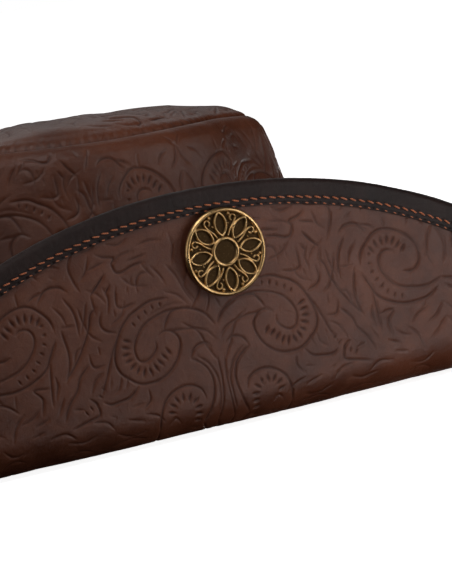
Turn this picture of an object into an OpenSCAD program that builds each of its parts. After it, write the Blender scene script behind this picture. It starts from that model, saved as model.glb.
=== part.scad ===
// Leather tricorn hat, sold as a pirate hat.
// A round brim is folded up on three sides round an oval crown.
// Front is -Y, the wearer's left is +X, and z = 0 is the face that the hat rests on.

/* [Head opening] */
// Half length of the oval where crown and brim meet, front to back
head_a = 102.5; // [97:0.5:108]
// Half width of the same oval, side to side
head_b = 85.5; // [81:0.5:90]

/* [Brim] */
// Brim width from the head oval to the bound edge
brim_w = 97.5; // [92:0.5:100]
// How much the width varies round the brim, wide at the sides and narrow at the front
brim_swell = 0.05; // [0:0.01:0.06]
// Distance from the hat's centre to the two front folds
fold_side = 92.5; // [91:0.5:97]
// Distance from the hat's centre to the back fold
fold_back = 124; // [120:0.5:127]
// Curve of each fold line, as the radius it is bent to
fold_curve = 900; // [700:50:1600]
// Radius of the soft bend at the middle of a fold
bend_r = 13; // [11:0.5:16]
// How much wider the bend opens at the three points
point_open = 15; // [10:1:24]
// Angle that a flap stands at above the table
flap_angle = 87; // [78:1:89]
// Thickness of the embossed outside leather
outer_t = 1.2; // [0.9:0.1:1.6]
// Thickness of the stiffener between the leathers
core_t = 0.8; // [0.6:0.1:1.2]
// Thickness of the leather on the crown side of the brim
inner_t = 1.1; // [0.9:0.1:1.4]

/* [Edge binding] */
// Width of the binding strip on each face
binding_w = 9.6; // [9.4:0.2:11]
// Thickness of the binding leather
binding_t = 0.7; // [0.5:0.1:0.9]
// Edge to the upper row of stitches
stitch_row_1 = 6.7; // [6.4:0.1:7]
// Edge to the lower row of stitches
stitch_row_2 = 8.7; // [8.6:0.1:9]
// Diameter of the shaping wire in the edge
wire_d = 1.4; // [1:0.1:1.5]

/* [Crown] */
// Height of the seam between crown side and crown tip
crown_h = 105; // [95:1:115]
// How far the crown side leans in over its height
crown_taper = 21; // [12:1:24]
// How much higher the front of the crown is than its middle
crown_rake = 6; // [0:1:10]
// Rise of the padded tip above its seam
tip_rise = 11; // [10:1:16]
// Thickness of the crown leather
crown_t = 1.3; // [1:0.1:1.6]

/* [Sweatband and lining] */
// Height of the sweatband
sweat_h = 38; // [30:1:40]
// Thickness of the sweatband leather
sweat_t = 1; // [0.8:0.1:1.2]
// Thickness of the lining cloth
lining_t = 0.4; // [0.3:0.1:0.5]

/* [Concho] */
// Diameter of the round ornament
concho_d = 32; // [30:0.5:36]
// Height of its centre above the table
concho_z = 63; // [58:1:66]
// Thickness of its plate
concho_t = 1.4; // [1.2:0.1:1.8]
// Diameter of the post behind it
post_d = 4.9; // [4:0.1:6]
// Diameter of the clamping screw's head
screw_head_d = 9; // [8:0.5:11]

/* [Hidden] */

// Clearance between layers that lie on each other
gap = 0.05;
// Steps round the brim and round the crown
brim_steps = 96;
oval_steps = 72;
// Seam allowance of the brim that runs in under the crown side
allowance = 2;
// Space inside the bound edge for the wire and its sleeve
wire_room = 2.4;
// Leather stack of the brim, and the width of leather inside the binding
stack_t = outer_t + core_t + inner_t + 2 * gap;
leather_w = brim_w - wire_room - binding_t;
// Where the binding's free edge lies
binding_s = brim_w - binding_w;
// Thickness and width of sewing thread, and how far it stands off the leather
thread_t = 0.25;
thread_w = 0.8;
thread_rise = 0.35;
// Step used to measure the brim's slope
slope_step = 0.05;

// Outward direction of the two front flaps and the back flap
fold_dirs = [[cos(30), -sin(30)], [-cos(30), -sin(30)], [0, 1]];
fold_dist = [fold_side, fold_side, fold_back];

// Reach and height of a strip folded up, q past the fold line, at bend radius r
function bend_len(r) = r * flap_angle * PI / 180;
function bend_at(q, r) = min(max(q / r * 180 / PI, 0), flap_angle);
function past(q, r) = max(q - bend_len(r), 0);
function reach(q, r) = q <= 0 ? q : r * sin(bend_at(q, r)) + past(q, r) * cos(flap_angle);
function lift(q, r) = q <= 0 ? 0 : r * (1 - cos(bend_at(q, r))) + past(q, r) * sin(flap_angle);

// Where a point of the flat brim lies along a fold, and how far past it
function along(p, k) = p[1] * fold_dirs[k][0] - p[0] * fold_dirs[k][1];
function past_fold(p, k) = p * fold_dirs[k] - fold_dist[k] + pow(along(p, k), 2) / (2 * fold_curve);

// The bend opens out towards the points of the hat
point_along = 170;
function radius_at(p, k) = bend_r + point_open * pow(abs(along(p, k)) / point_along, 3);
function pull(p, k) = past_fold(p, k) - reach(past_fold(p, k), radius_at(p, k));
function rise(p, k) = lift(past_fold(p, k), radius_at(p, k));

// The folded place of a point of the flat brim
function folded(p) = [
  p[0] - pull(p, 0) * fold_dirs[0][0] - pull(p, 1) * fold_dirs[1][0],
  p[1] - pull(p, 0) * fold_dirs[0][1] - pull(p, 1) * fold_dirs[1][1] - pull(p, 2),
  rise(p, 0) + rise(p, 1) + rise(p, 2)];
// Share by which the brim is wider or narrower than its width at this angle
function swell(a) = 1 + brim_swell * (cos(2 * a) + sin(a)) / 2;
function flat(a, s) = [(head_b + s * swell(a)) * cos(a), (head_a + s * swell(a)) * sin(a)];

// Distance across the brim at which a bend starts or ends, found by halving
halvings = 18;
function bend_passed(p, part) =
  max([for (k = [0:2]) past_fold(p, k) - part * bend_len(radius_at(p, k))]) > 0;
function find_bend(a, part, lo, hi, n) =
  let (mid = (lo + hi) / 2)
  n == 0 ? mid
  : bend_passed(flat(a, mid), part) ? find_bend(a, part, lo, mid, n - 1) : find_bend(a, part, mid, hi, n - 1);

// Lengths across the brim at which its layers have an edge line
function across(a) =
  let (s0 = find_bend(a, 0, 0, binding_s - 8, halvings))
  let (s1 = find_bend(a, 1, s0 + 6, binding_s - 2, halvings))
  [-allowance, s0 / 2, s0, (2 * s0 + s1) / 3, (s0 + 2 * s1) / 3, s1, (s1 + binding_s) / 2, binding_s, leather_w];

function unit(v) = v / norm(v);

// Direction through the leather at a point of the flat brim
function slope_x(p) = folded(p + [slope_step, 0]) - folded(p - [slope_step, 0]);
function slope_y(p) = folded(p + [0, slope_step]) - folded(p - [0, slope_step]);
function through(p) = unit(cross(slope_x(p), slope_y(p)));
function brim_at(a, s, t) = folded(flat(a, s)) + t * through(flat(a, s));
function brim_angle(i) = (i + 0.5) * 360 / brim_steps;

// A point of the bound edge, which is straight across from its free edge
function on_band(a, s, t) =
  let (f = (s - binding_s) / (brim_w - binding_s))
  brim_at(a, binding_s, t) * (1 - f) + brim_at(a, brim_w, t) * f;

// Faces of a tube made of rings of points, closed on itself. The lengths are each ring point's
// distance across; they turn the cut of each face, so that layers lying on each other agree.
function ring_faces(rings, lengths) =
  let (n = len(lengths))
  [for (i = [0:rings - 1])
    for (j = [0:n - 1])
      for (half = [0, 1])
        let (j2 = (j + 1) % n, a = i * n, b = (i + 1) % rings * n)
        lengths[j2] < lengths[j]
          ? (half == 0 ? [a + j, b + j, a + j2] : [b + j, b + j2, a + j2])
          : (half == 0 ? [a + j, b + j, b + j2] : [a + j, b + j2, a + j2])];
function firsts(section) = [for (c = section) c[0]];

// Faces of a tube with two flat ends
function tube_faces(rings, n) = concat(
  [for (i = [0:rings - 2])
    for (j = [0:n - 1])
      for (half = [0, 1])
        let (j2 = (j + 1) % n)
        half == 0 ? [i * n + j, (i + 1) * n + j, (i + 1) * n + j2] : [i * n + j, (i + 1) * n + j2, i * n + j2]],
  [[for (j = [0:n - 1]) j]],
  [[for (j = [n - 1:-1:0]) (rings - 1) * n + j]]);

// One layer of the brim between two depths, with the post's hole through it
module brim_layer(t0, t1) {
  n = len(across(0));
  order = concat([for (j = [0:n - 1]) j], [for (j = [n - 1:-1:0]) j]);
  points = [for (i = [0:brim_steps - 1])
    let (a = brim_angle(i), lines = across(a))
    for (k = [0:2 * n - 1])
      let (s = lines[order[k]], t = k < n ? t0 : t1)
      s < leather_w ? brim_at(a, s, t) : on_band(a, s, t)];
  difference() {
    polyhedron(points, ring_faces(brim_steps, order));
    concho_place() translate([0, 0, -15]) cylinder(h = 30, d = post_d + 2 * gap, $fn = 48);
  }
}

// A strip on the bound edge, swept from a closed outline of width and depth
module band_sweep(section) {
  points = [for (i = [0:brim_steps - 1]) for (c = section) on_band(brim_angle(i), c[0], c[1])];
  polyhedron(points, ring_faces(brim_steps, firsts(section)));
}

// A row of thread on the bound edge
module band_thread(s, t0, t1) {
  band_sweep([[s - thread_w / 2, t0], [s + thread_w / 2, t0], [s, t1]]);
}

// Place and direction of the concho's post on the wearer's left flap
concho_q = bend_len(bend_r) + (concho_z - bend_r * (1 - cos(flap_angle))) / sin(flap_angle);
concho_flat = fold_dirs[0] * (fold_side + concho_q);
concho_at = folded(concho_flat);

// Puts its children on the flap, with +Z straight out of the leather
module concho_place() {
  translate(concho_at) rotate([0, 0, -30]) rotate([0, 180 - flap_angle, 0]) children();
}

// Ring swept round the crown's oval from a closed outline of inset and height
function oval_at(a, c) = [
  (head_b - c[0]) * cos(a),
  (head_a - c[0]) * sin(a),
  c[1] - crown_rake * (head_a - c[0]) * sin(a) / head_a * max(c[1] - base_z, 0) / (crown_h - base_z)];
function oval_angle(i) = (i + 0.5) * 360 / oval_steps;
module oval_sweep(section) {
  points = [for (i = [0:oval_steps - 1]) for (c = section) oval_at(oval_angle(i), c)];
  polyhedron(points, ring_faces(oval_steps, firsts(section)));
}

// Outline of the crown side, from the brim up to the seam, as inset and height
base_z = stack_t + gap;
side_path = [
  [0, base_z],
  [crown_taper * 0.21, crown_h * 0.38],
  [crown_taper * 0.67, crown_h * 0.70],
  [crown_taper * 0.88, crown_h * 0.92],
  [crown_taper * 0.99, crown_h * 0.975],
  [crown_taper * 1.14, crown_h]];

// Point of the crown side at a share of its height, as inset and height
function side_at(f) = [lookup(f * crown_h, [for (c = side_path) [c[1], c[0]]]), f * crown_h];

// Outline of the tip, from its seam to the middle, as inset and height
seam_in = crown_taper * 1.14;
tip_path = [
  [seam_in + 2, crown_h - 1],
  [seam_in + 3.5, crown_h + tip_rise * 0.25],
  [seam_in + 11, crown_h + tip_rise * 0.58],
  [seam_in + 30, crown_h + tip_rise * 0.90]];

// A path moved sideways, to the inside of the crown
function path_dir(p, i) = i == 0 ? [0, 1] : unit(p[min(i + 1, len(p) - 1)] - p[i - 1]);
function moved(p, t) = [for (i = [0:len(p) - 1]) p[i] + t * [path_dir(p, i)[1], -path_dir(p, i)[0]]];
function between(p, t0, t1) =
  let (near = moved(p, t0), far = moved(p, t1))
  concat(near, [for (i = [len(p) - 1:-1:0]) far[i]]);

// A closed cap over the crown, made of rings that shrink to the middle
module oval_cap(p, t0, t1) {
  near = moved(p, t0);
  far = moved(p, t1);
  n = len(p);
  middle_z = crown_h + tip_rise;
  low = n * oval_steps;
  points = concat(
    [for (k = [0:n - 1]) for (i = [0:oval_steps - 1]) oval_at(oval_angle(i), near[k])],
    [for (k = [0:n - 1]) for (i = [0:oval_steps - 1]) oval_at(oval_angle(i), far[k])],
    [[0, 0, middle_z - t0], [0, 0, middle_z - t1]]);
  walls = [for (k = [0:n - 2]) for (i = [0:oval_steps - 1]) for (half = [0, 1])
    let (i2 = (i + 1) % oval_steps, a = k * oval_steps, b = (k + 1) * oval_steps)
    half == 0 ? [a + i, b + i, b + i2] : [a + i, b + i2, a + i2]];
  under = [for (f = walls) [low + f[0], low + f[2], low + f[1]]];
  rim = [for (i = [0:oval_steps - 1]) for (half = [0, 1])
    let (i2 = (i + 1) % oval_steps)
    half == 0 ? [i, i2, low + i2] : [i, low + i2, low + i]];
  top = (n - 1) * oval_steps;
  crest = [for (i = [0:oval_steps - 1]) [top + i, 2 * low, top + (i + 1) % oval_steps]];
  vault = [for (i = [0:oval_steps - 1]) [low + top + i, low + top + (i + 1) % oval_steps, 2 * low + 1]];
  polyhedron(points, concat(walls, under, rim, crest, vault));
}

module brim_outer_leather() {
  color("#4a2b20") brim_layer(0, outer_t);
}

module brim_stiffener() {
  color("#c9c2b0") brim_layer(outer_t + gap, outer_t + gap + core_t);
}

module brim_inner_leather() {
  color("#5a382b") brim_layer(stack_t - inner_t, stack_t);
}

// U-shaped strip, folded over the brim's edge and the wire
module brim_binding() {
  far = leather_w + wire_room;
  rows_s = brim_w - (stitch_row_1 + stitch_row_2) / 2;
  color("#241612") band_sweep([
    [binding_s, -binding_t], [rows_s, -binding_t], [brim_w - 0.4, -binding_t], [brim_w, 0.4],
    [brim_w, stack_t - 0.4], [brim_w - 0.4, stack_t + binding_t], [rows_s, stack_t + binding_t],
    [binding_s, stack_t + binding_t],
    [binding_s, stack_t + gap], [leather_w, stack_t + gap], [far, stack_t + gap],
    [far, -gap], [leather_w, -gap], [binding_s, -gap]]);
}

module binding_thread_outer() {
  color("#8a4a26") {
    band_thread(brim_w - stitch_row_1, -binding_t - thread_rise, -binding_t - thread_rise - thread_t);
    band_thread(brim_w - stitch_row_2, -binding_t - thread_rise, -binding_t - thread_rise - thread_t);
  }
}

module binding_thread_inner() {
  inside_t = stack_t + binding_t + thread_rise;
  color("#8a4a26") {
    band_thread(brim_w - stitch_row_1, inside_t + thread_t, inside_t);
    band_thread(brim_w - stitch_row_2, inside_t + thread_t, inside_t);
  }
}

// Shaping wire in the fold of the binding, open at the back
wire_s = leather_w + wire_room / 2;
wire_gap_angle = 0.2;
wire_sides = 5;
module edge_wire() {
  angles = concat([90 + wire_gap_angle],
    [for (i = [0:brim_steps - 1]) 90 + (i + 0.5) * 360 / brim_steps],
    [450 - wire_gap_angle]);
  points = [for (a = angles) for (j = [0:wire_sides - 1])
    brim_at(a, wire_s + wire_d / 2 * cos(j * 360 / wire_sides),
      stack_t / 2 + wire_d / 2 * sin(j * 360 / wire_sides))];
  color("#8f9396") polyhedron(points, tube_faces(len(angles), wire_sides));
}

// Crimped tube that joins the two ends of the wire
module edge_wire_sleeve() {
  sleeve_l = 10;
  color("#b4b7ba") translate(brim_at(90, wire_s, stack_t / 2)) rotate([0, 90, 0]) difference() {
    cylinder(h = sleeve_l, d = wire_d + 0.8, center = true, $fn = 32);
    cylinder(h = sleeve_l + 1, d = wire_d + 0.3, center = true, $fn = 32);
  }
}

module crown_side() {
  color("#4f3025") oval_sweep(between(side_path, 0, crown_t));
}

module crown_tip() {
  color("#553529") oval_cap(tip_path, 0, crown_t);
}

// Thread in the groove between the crown side and the tip
module crown_rim_thread() {
  groove = seam_in + 1;
  color("#3a2018") oval_sweep([
    [groove - 0.4, crown_h - 0.4], [groove + 0.4, crown_h - 0.4],
    [groove + 0.4, crown_h + 0.1], [groove - 0.4, crown_h + 0.1]]);
}

// Stitches down the joint of the crown side at the back
module crown_back_thread() {
  stitches = 18;
  stitch_l = 3;
  color("#3a2018") for (i = [0:stitches - 1]) {
    c = side_at(0.05 + 0.87 * i / stitches);
    tilt = atan2(side_at(0.06 + 0.87 * i / stitches)[0] - c[0], crown_h * 0.01);
    place = oval_at(90, c);
    translate([0, place[1] + 0.5, place[2]]) rotate([tilt, 0, 0]) cube([thread_w, thread_t, stitch_l], center = true);
  }
}

// Thread that joins crown, brim and sweatband inside the head opening
module crown_base_thread() {
  color("#3a2018") oval_sweep([
    [allowance + 0.15, 1.6], [allowance + 0.85, 1.6], [allowance + 0.85, 2.2], [allowance + 0.15, 2.2]]);
}

module lining_side() {
  color("#1f1b1a") oval_sweep(between(side_path, crown_t + 0.2, crown_t + 0.2 + lining_t));
}

module lining_tip() {
  color("#1f1b1a") oval_cap(tip_path, crown_t + 0.3, crown_t + 0.3 + lining_t);
}

sweat_in = allowance + 1;
module sweatband() {
  lean = crown_taper * 0.21 / (crown_h * 0.38 - base_z);
  top_z = sweat_h + 2;
  color("#3b2a20") oval_sweep([
    [sweat_in, 2], [sweat_in + lean * sweat_h, top_z],
    [sweat_in + lean * sweat_h + sweat_t, top_z], [sweat_in + sweat_t, 2]]);
}

// Cord rolled into the lower edge of the sweatband
module sweatband_reed() {
  reed_r = 0.7;
  color("#20160f") oval_sweep([for (j = [0:3])
    [sweat_in + sweat_t / 2 + reed_r * cos(j * 90), 1.1 + reed_r * sin(j * 90)]]);
}

module sweatband_thread() {
  row_in = sweat_in + sweat_t + 0.6;
  color("#8a6a4a") oval_sweep([[row_in, 3.6], [row_in + 0.3, 3.8], [row_in + 0.3, 4.2], [row_in, 4.4]]);
}

// Small ribbon bow at the back of the sweatband
module sweatband_bow() {
  loop_l = 9;
  loop_w = 5;
  ribbon_t = 0.6;
  bow_y = head_a - sweat_in - sweat_t - 3.6;
  color("#1b1513") translate([0, bow_y, 11]) {
    rotate([90, 0, 0]) cylinder(h = 2.4, d = 4, center = true, $fn = 32);
    for (side = [-1, 1]) {
      rotate([0, 0, side * -5]) translate([side * (loop_l / 2 + 0.8), 0, 0])
        cube([loop_l, ribbon_t, loop_w], center = true);
      rotate([0, side * 25, 0]) translate([side * 2.6, 0.6, -5])
        cube([3.4, ribbon_t, 10], center = true);
    }
  }
}

// Heights in the concho, measured out of the leather's face
plate_z = binding_t + thread_rise + thread_t + 0.3;
face_z = plate_z + concho_t;
petals = 8;
petal_r = concho_d / 2 * 0.635;
petal_l = concho_d / 2 * 0.55;
petal_w = concho_d / 2 * 0.31;
wall_h = 0.6;
wall_w = 0.45;
turn = 3;

// Pointed oval drawn by two arcs
module marquise(l, w) {
  arc_r = (l * l + w * w) / (4 * w);
  intersection() {
    translate([0, arc_r - w / 2]) circle(r = arc_r, $fn = 96);
    translate([0, w / 2 - arc_r]) circle(r = arc_r, $fn = 96);
  }
}

module concho_face() {
  r = concho_d / 2;
  hub_r = r * 0.27;
  shank_r = 1.5;
  post_l = plate_z + stack_t;
  color("#8c6c35") concho_place() difference() {
    union() {
      rotate_extrude($fn = 96) polygon([
        [0, plate_z], [r - 0.6, plate_z], [r, plate_z + 0.5], [r, face_z + 0.2], [r - 0.35, face_z + 0.7],
        [r - 0.9, face_z + 0.7], [r - 1.2, face_z], [hub_r + 0.5, face_z], [hub_r + 0.4, face_z + 0.7],
        [hub_r - 0.4, face_z + 0.7], [hub_r - 0.5, face_z - 0.2], [0, face_z - 0.2]]);
      for (i = [0:petals - 1]) rotate([0, 0, turn + i * 360 / petals]) {
        translate([petal_r, 0, face_z - 0.2]) linear_extrude(wall_h + 0.2) difference() {
          marquise(petal_l, petal_w);
          marquise(petal_l - 3 * wall_w, petal_w - 2 * wall_w);
        }
        rotate([0, 0, 180 / petals]) translate([r * 0.82, 0, face_z - 0.2]) cylinder(h = 0.7, r = 0.6, $fn = 24);
        rotate([0, 0, 180 / petals]) translate([r * 0.40, 0, face_z - 0.2]) cylinder(h = 0.6, r = 0.4, $fn = 24);
      }
      translate([0, 0, 0.3]) cylinder(h = plate_z, r = 5, $fn = 48);
      translate([0, 0, -stack_t]) cylinder(h = post_l, d = post_d, $fn = 48);
    }
    translate([0, 0, -stack_t - 1]) cylinder(h = stack_t + 2, r = shank_r, $fn = 32);
  }
}

washer_t = 0.8;
washer_hole_r = 1.6;
module concho_washer() {
  color("#6d6a66") concho_place() translate([0, 0, -stack_t - 0.3 - washer_t]) difference() {
    cylinder(h = washer_t, d = screw_head_d + 2, $fn = 48);
    translate([0, 0, -1]) cylinder(h = washer_t + 2, r = washer_hole_r, $fn = 32);
  }
}

module concho_screw() {
  head_h = 1.4;
  head_top = -stack_t - 0.3 - washer_t - gap;
  screw_l = 4.3;
  screw_r = 1.4;
  slot_w = 1.1;
  slot_deep = 0.6;
  color("#8c6c35") concho_place() difference() {
    union() {
      translate([0, 0, head_top - head_h]) cylinder(h = head_h, d = screw_head_d, $fn = 48);
      translate([0, 0, head_top - 0.1]) cylinder(h = screw_l, r = screw_r, $fn = 32);
    }
    translate([0, 0, head_top - head_h]) cube([screw_head_d + 1, slot_w, 2 * slot_deep], center = true);
  }
}

brim_outer_leather();
brim_stiffener();
brim_inner_leather();
brim_binding();
binding_thread_outer();
binding_thread_inner();
edge_wire();
edge_wire_sleeve();
crown_side();
crown_tip();
crown_rim_thread();
crown_back_thread();
crown_base_thread();
lining_side();
lining_tip();
sweatband();
sweatband_reed();
sweatband_thread();
sweatband_bow();
concho_face();
concho_washer();
concho_screw();
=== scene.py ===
import math

import bpy
import numpy as np
from mathutils import Matrix, Vector


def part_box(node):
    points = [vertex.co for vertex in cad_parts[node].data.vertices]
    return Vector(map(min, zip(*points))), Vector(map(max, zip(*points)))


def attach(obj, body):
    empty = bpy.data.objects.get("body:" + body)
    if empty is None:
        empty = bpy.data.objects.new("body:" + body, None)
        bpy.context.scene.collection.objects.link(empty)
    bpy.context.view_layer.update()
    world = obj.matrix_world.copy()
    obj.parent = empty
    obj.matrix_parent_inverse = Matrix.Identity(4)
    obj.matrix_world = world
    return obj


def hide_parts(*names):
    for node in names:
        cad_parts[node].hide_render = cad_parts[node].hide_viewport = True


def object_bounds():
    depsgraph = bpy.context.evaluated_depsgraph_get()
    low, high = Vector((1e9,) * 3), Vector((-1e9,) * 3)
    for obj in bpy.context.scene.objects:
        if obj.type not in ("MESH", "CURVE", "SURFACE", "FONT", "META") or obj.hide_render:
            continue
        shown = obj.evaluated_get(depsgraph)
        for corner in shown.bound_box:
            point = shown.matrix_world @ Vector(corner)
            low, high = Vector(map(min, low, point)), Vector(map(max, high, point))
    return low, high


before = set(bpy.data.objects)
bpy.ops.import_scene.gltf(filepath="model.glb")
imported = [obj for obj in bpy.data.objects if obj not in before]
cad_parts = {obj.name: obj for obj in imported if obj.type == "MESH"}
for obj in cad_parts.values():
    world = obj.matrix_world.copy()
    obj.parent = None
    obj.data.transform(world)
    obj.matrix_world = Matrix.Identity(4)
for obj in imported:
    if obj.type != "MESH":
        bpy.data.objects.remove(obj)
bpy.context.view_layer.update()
MM = 0.001
rng = np.random.default_rng(17)

# ---------------------------------------------------------------- driving sizes, in millimetres
HEAD_A, HEAD_B = 102.5, 85.5
BRIM_W, BRIM_SWELL, BINDING_W, BINDING_T = 97.5, 0.05, 9.25, 0.7
FOLD_SIDE, FOLD_BACK, FOLD_CURVE = 92.5, 124.0, 900.0
BEND_R, POINT_OPEN, POINT_ALONG = 13.0, 15.0, 170.0
FLAP = math.radians(87)
OUTER_T, CORE_T, INNER_T, GAP = 1.2, 0.8, 1.1, 0.05
STACK = OUTER_T + CORE_T + INNER_T + 2 * GAP
BINDING_S = BRIM_W - BINDING_W
LEATHER_W = BRIM_W - 2.4 - BINDING_T
ROW_1, ROW_2, PITCH = BRIM_W - 6.7, BRIM_W - 8.8, 3.75
ALLOWANCE = 2.0
CROWN_H, CROWN_TAPER, CROWN_RAKE, TIP_RISE, CROWN_T = 105.0, 21.0, 6.0, 11.0, 1.3
BASE_Z = STACK + GAP
DIRS = np.array([[math.cos(math.pi / 6), -0.5], [-math.cos(math.pi / 6), -0.5], [0.0, 1.0]])
DISTS = (FOLD_SIDE, FOLD_SIDE, FOLD_BACK)


# ---------------------------------------------------------------- the folded brim
def along_fold(p, k):
    return p[..., 1] * DIRS[k][0] - p[..., 0] * DIRS[k][1]


def past_fold(p, k):
    return p @ DIRS[k] - DISTS[k] + along_fold(p, k) ** 2 / (2 * FOLD_CURVE)


def folded(p):
    """Where points of the flat brim lie once its three flaps are folded up."""
    out = np.concatenate([p, np.zeros(p.shape[:-1] + (1,))], -1)
    for k in range(3):
        q = past_fold(p, k)
        r = BEND_R + POINT_OPEN * (np.abs(along_fold(p, k)) / POINT_ALONG) ** 3
        bend = np.clip(q / r, 0, FLAP)
        over = np.maximum(q - r * FLAP, 0)
        reach = np.where(q <= 0, q, r * np.sin(bend) + over * math.cos(FLAP))
        out[..., 2] += np.where(q <= 0, 0, r * (1 - np.cos(bend)) + over * math.sin(FLAP))
        out[..., :2] -= (q - reach)[..., None] * DIRS[k]
    return out


def flat(a, s):
    """A point of the flat brim, which is widest at the sides and narrowest at the front."""
    wide = s * (1 + BRIM_SWELL * (np.cos(2 * a) + np.sin(a)) / 2)
    return np.stack([(HEAD_B + wide) * np.cos(a), (HEAD_A + wide) * np.sin(a)], -1)


def through(p):
    """Unit direction through the leather, towards the crown."""
    e = 0.05
    dx, dy = np.array([e, 0.0]), np.array([0.0, e])
    n = np.cross(folded(p + dx) - folded(p - dx), folded(p + dy) - folded(p - dy))
    return n / np.linalg.norm(n, axis=-1, keepdims=True)


def brim_at(a, s, t):
    p = flat(a, s)
    return folded(p) + np.asarray(t)[..., None] * through(p)


def angles(fine, coarse, lo=-64, hi=8):
    """Angles round the brim, closer together on the flap that carries the ornament."""
    a = list(np.arange(lo, hi, fine))
    ramp, x, step = [], hi, fine
    while x < lo + 360 - 1e-6:
        ramp.append(x)
        near = min(x - hi, lo + 360 - x)
        step = fine + (coarse - fine) * min(near / 6, 1)
        x += step
    return np.radians(np.array(a + ramp))


# ---------------------------------------------------------------- mesh helpers
def grid_faces(nu, nv, close_u, close_v):
    u = np.arange(nu if close_u else nu - 1)
    v = np.arange(nv if close_v else nv - 1)
    i, j = np.meshgrid(u, v, indexing="ij")
    i2, j2 = (i + 1) % nu, (j + 1) % nv
    return np.stack([i * nv + j, i2 * nv + j, i2 * nv + j2, i * nv + j2], -1).reshape(-1, 4)


def mesh_object(name, points, faces, material, attributes=()):
    """A smooth mesh from points in millimetres and arrays of faces, each array of one face size."""
    mesh = bpy.data.meshes.new(name)
    points = np.asarray(points, float).reshape(-1, 3) * MM
    corners = np.concatenate([np.asarray(f).ravel() for f in faces]).astype(np.int32)
    totals = np.concatenate([np.full(len(f), f.shape[1]) for f in faces]).astype(np.int32)
    mesh.vertices.add(len(points))
    mesh.vertices.foreach_set("co", points.ravel())
    mesh.loops.add(len(corners))
    mesh.loops.foreach_set("vertex_index", corners)
    mesh.polygons.add(len(totals))
    mesh.polygons.foreach_set("loop_start", np.concatenate([[0], np.cumsum(totals)[:-1]]).astype(np.int32))
    mesh.polygons.foreach_set("loop_total", totals)
    mesh.polygons.foreach_set("use_smooth", np.ones(len(totals), bool))
    mesh.update(calc_edges=True)
    for key, values in dict(attributes).items():
        values = np.asarray(values, float)
        if values.ndim == 1:
            layer = mesh.attributes.new(key, "FLOAT", "POINT")
            layer.data.foreach_set("value", values)
        else:
            layer = mesh.attributes.new(key, "FLOAT_VECTOR", "POINT")
            layer.data.foreach_set("vector", values.ravel())
    mesh.validate()
    obj = bpy.data.objects.new(name, mesh)
    bpy.context.collection.objects.link(obj)
    obj.data.materials.append(material)
    return obj


# ---------------------------------------------------------------- node helpers
class Nodes:
    """Short names for building a node material."""

    def __init__(self, name):
        self.mat = bpy.data.materials.new(name)
        self.mat.use_nodes = True
        self.tree = self.mat.node_tree
        self.shader = self.tree.nodes["Principled BSDF"]
        self.pos = self.new("ShaderNodeTexCoord").outputs["Object"]

    def new(self, kind, **settings):
        node = self.tree.nodes.new(kind)
        for key, value in settings.items():
            setattr(node, key, value)
        return node

    def put(self, socket, value):
        if hasattr(value, "is_output"):
            self.tree.links.new(value, socket)
        else:
            socket.default_value = value

    def attr(self, name):
        node = self.new("ShaderNodeAttribute", attribute_name=name)
        return node.outputs["Fac"]

    def vec(self, name):
        return self.new("ShaderNodeAttribute", attribute_name=name).outputs["Vector"]

    def noise(self, scale, detail=4.0, rough=0.55, where=None, distort=0.0):
        node = self.new("ShaderNodeTexNoise")
        self.put(node.inputs["Vector"], where if where is not None else self.pos)
        node.inputs["Scale"].default_value = scale
        node.inputs["Detail"].default_value = detail
        node.inputs["Roughness"].default_value = rough
        node.inputs["Distortion"].default_value = distort
        return node.outputs["Fac"]

    def cells(self, scale, where=None, feature="DISTANCE_TO_EDGE", randomness=1.0):
        node = self.new("ShaderNodeTexVoronoi", feature=feature)
        self.put(node.inputs["Vector"], where if where is not None else self.pos)
        node.inputs["Scale"].default_value = scale
        node.inputs["Randomness"].default_value = randomness
        return node.outputs["Distance"]

    def stretch(self, scale, where=None):
        node = self.new("ShaderNodeMapping")
        self.put(node.inputs["Vector"], where if where is not None else self.pos)
        node.inputs["Scale"].default_value = scale
        return node.outputs["Vector"]

    def math(self, op, a, b=0.0, c=None):
        node = self.new("ShaderNodeMath", operation=op)
        self.put(node.inputs[0], a)
        self.put(node.inputs[1], b)
        if c is not None:
            self.put(node.inputs[2], c)
        return node.outputs[0]

    def ramp(self, value, lo, hi, out_lo=0.0, out_hi=1.0):
        node = self.new("ShaderNodeMapRange")
        self.put(node.inputs["Value"], value)
        node.inputs["From Min"].default_value = lo
        node.inputs["From Max"].default_value = hi
        node.inputs["To Min"].default_value = out_lo
        node.inputs["To Max"].default_value = out_hi
        return node.outputs["Result"]

    def mix(self, amount, a, b, blend="MIX"):
        node = self.new("ShaderNodeMix", data_type="RGBA", blend_type=blend)
        self.put(node.inputs[0], amount)
        for socket, value in ((node.inputs[6], a), (node.inputs[7], b)):
            if isinstance(value, tuple):
                value = tuple(value) + (1.0,) * (4 - len(value))
            self.put(socket, value)
        return node.outputs[2]

    def bump(self, height, strength, distance, under=None):
        node = self.new("ShaderNodeBump")
        self.put(node.inputs["Height"], height)
        node.inputs["Strength"].default_value = strength
        node.inputs["Distance"].default_value = distance
        if under is not None:
            self.put(node.inputs["Normal"], under)
        return node.outputs["Normal"]

    def finish(self, colour, roughness, normal, **fixed):
        self.put(self.shader.inputs["Base Color"], colour)
        self.put(self.shader.inputs["Roughness"], roughness)
        self.put(self.shader.inputs["Normal"], normal)
        for key, value in fixed.items():
            self.shader.inputs[key.replace("_", " ")].default_value = value
        return self.mat


def srgb(r, g, b):
    """Linear colour of a screen colour given as 0 to 255."""
    return tuple((c / 255 / 12.92) if c <= 10 else ((c / 255 + 0.055) / 1.055) ** 2.4 for c in (r, g, b))


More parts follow.
